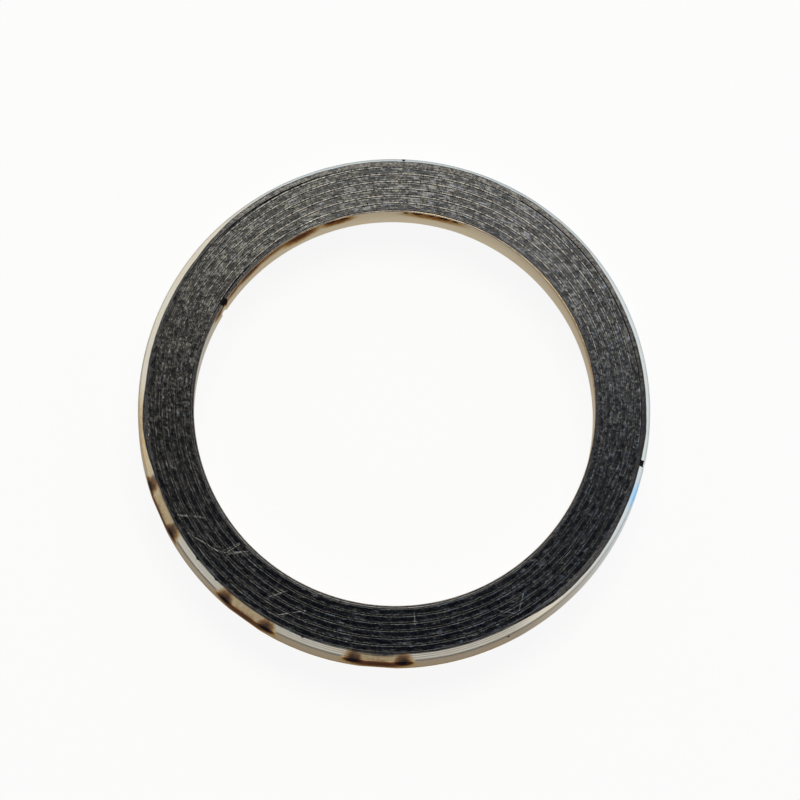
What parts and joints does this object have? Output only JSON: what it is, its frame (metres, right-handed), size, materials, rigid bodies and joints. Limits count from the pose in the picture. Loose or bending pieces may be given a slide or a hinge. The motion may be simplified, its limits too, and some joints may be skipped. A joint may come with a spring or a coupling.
{
  "type": "spiral-wound exhaust gasket",
  "caption": "Flat ring gasket for an exhaust joint: a steel strip and a graphite strip wound in a spiral, with bare tack-welded turns at the bore and at the bulged rim.",
  "frame": {"origin": "on the ring's axis at its lower face", "axes": "+Z along the ring's axis, up from the lower face to the upper face; the spiral grows clockwise seen from above"},
  "size_m": [0.0614, 0.0614, 0.006],
  "materials": {
    "strip_steel": "thin rolled stainless strip, straw to brown heat tint round the tack welds, light graphite smears",
    "graphite": "pressed expanded graphite, dull, scratched"
  },
  "bodies": {
    "root": {"metal_winding": "strip_steel", "graphite_filler": "graphite"}
  },
  "joints": []
}
